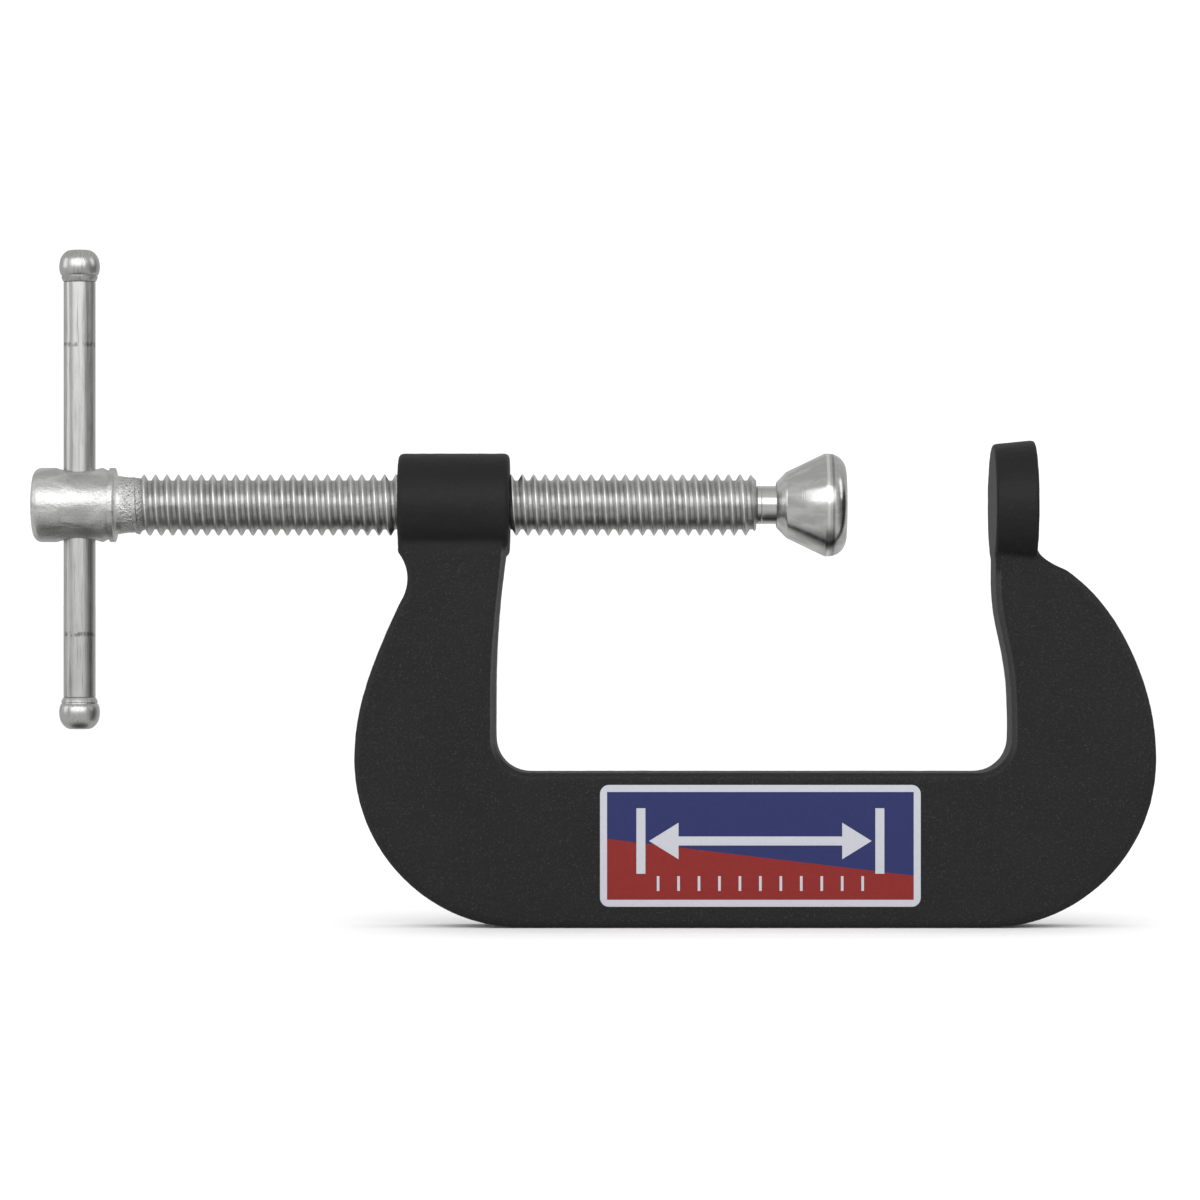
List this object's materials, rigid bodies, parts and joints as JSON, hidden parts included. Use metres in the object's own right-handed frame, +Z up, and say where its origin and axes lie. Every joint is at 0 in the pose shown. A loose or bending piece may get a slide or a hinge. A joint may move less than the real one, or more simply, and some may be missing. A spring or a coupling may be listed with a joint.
{
  "type": "c clamp",
  "caption": "Small cast C clamp with a threaded screw, sliding T-bar and swivel pad, standing on its back.",
  "frame": {"origin": "centre of the anvil's flat clamping face, on the screw axis", "axes": "+X along the screw towards the anvil, +Z up away from the frame's back, Y across the frame's thickness"},
  "size_m": [0.1383, 0.016, 0.0832],
  "materials": {
    "black_enamel": "semi-gloss black enamel over a cast skin",
    "zinc_plate": "bright zinc plate",
    "pad_plate": "bright zinc plate, turned",
    "printed_label": "printed film"
  },
  "bodies": {
    "frame": {"frame_casting": "black_enamel", "label": "printed_label"},
    "stud": {"ball_stud": "zinc_plate"},
    "screw": {"clamp_screw": "zinc_plate"},
    "bar": {"sliding_bar": "zinc_plate", "upper_bar_cap": "zinc_plate", "lower_bar_cap": "zinc_plate"},
    "pad": {"swivel_pad": "pad_plate"}
  },
  "joints": [
    {"name": "screw_travel", "type": "slide", "parent": "frame", "child": "stud", "axis": [1, 0, 0], "range_m": [-0.0323, 0.0175]},
    {"name": "screw_turn", "type": "hinge", "parent": "stud", "child": "screw", "pos_m": [0, 0, 0], "axis": [1, 0, 0], "range_deg": [-8240.33, 4464.58]},
    {"name": "bar_slide", "type": "slide", "parent": "screw", "child": "bar", "axis": [0, 0, 1], "range_m": [-0.0229, 0.019]},
    {"name": "pad_swivel", "type": "hinge", "parent": "stud", "child": "pad", "pos_m": [-0.0225, 0, 0], "axis": [0, 1, 0], "range_deg": [-4, 4]}
  ],
  "couplings": [
    {"joint": "screw_turn", "follows": "screw_travel", "rad_per_m": 4452.7}
  ]
}
